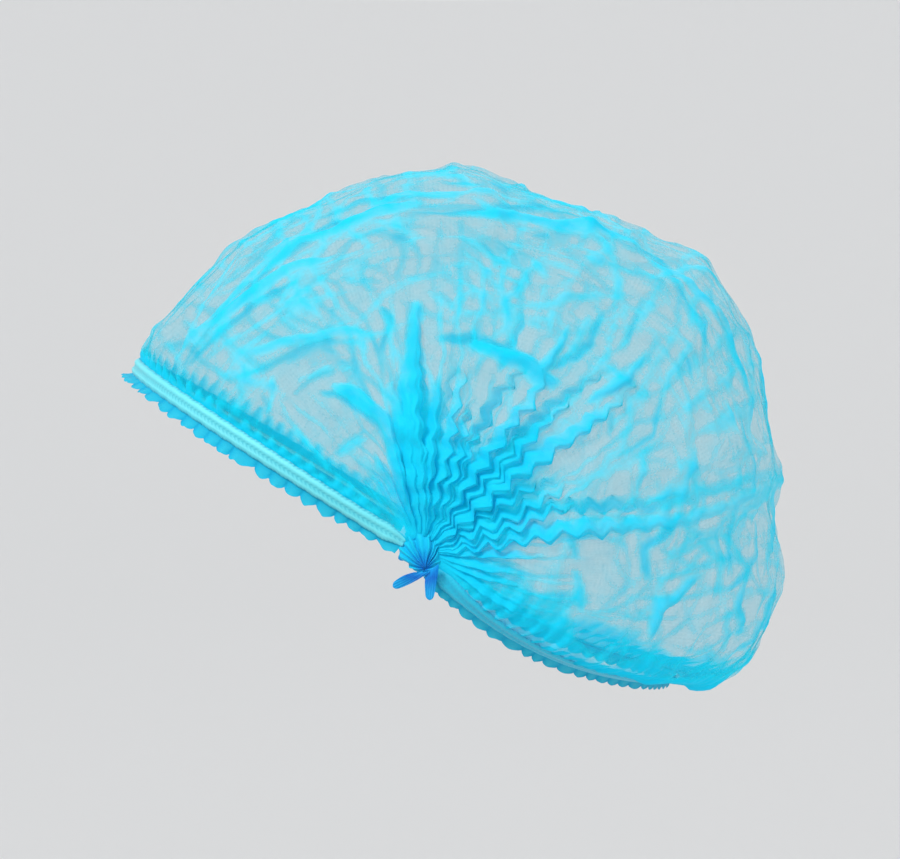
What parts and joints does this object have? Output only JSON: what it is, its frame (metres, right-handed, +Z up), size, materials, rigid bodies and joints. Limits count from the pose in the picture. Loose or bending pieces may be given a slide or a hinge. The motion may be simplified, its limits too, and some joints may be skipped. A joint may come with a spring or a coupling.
{
  "type": "disposable hairnet",
  "caption": "Bouffant hairnet in its worn form: sheer pleated non-woven crown gathered above each ear, flat elastics across forehead and nape, fluted hems and welded gather tails.",
  "frame": {"origin": "midway between the two gathers above the ears, in the opening that the head goes through", "axes": "+Z up, the wearer faces -Y, +X to the wearer's left"},
  "size_m": [0.1608, 0.1995, 0.1564],
  "materials": {
    "sheer_cloth": "sheer spunbond non-woven polypropylene, sky blue, see-through where it lies in one layer",
    "hem_cloth": "gathered spunbond non-woven polypropylene, two layers folded over and fluted",
    "gathered_cloth": "tightly pleated spunbond non-woven polypropylene, opaque sky blue",
    "elastic_braid": "flat elastic under stretched cloth, two pale cyan ribs with a stitched groove",
    "welded_cloth": "polypropylene cloth melted into a dark blue film at the weld"
  },
  "bodies": {
    "root": {"crown": "sheer_cloth", "front_elastic": "elastic_braid", "back_elastic": "elastic_braid", "front_hem": "hem_cloth", "back_hem": "hem_cloth", "left_gather": "gathered_cloth", "right_gather": "gathered_cloth", "left_weld_tab_front": "welded_cloth", "left_weld_tab_rear": "welded_cloth", "right_weld_tab_front": "welded_cloth", "right_weld_tab_rear": "welded_cloth"}
  },
  "joints": []
}
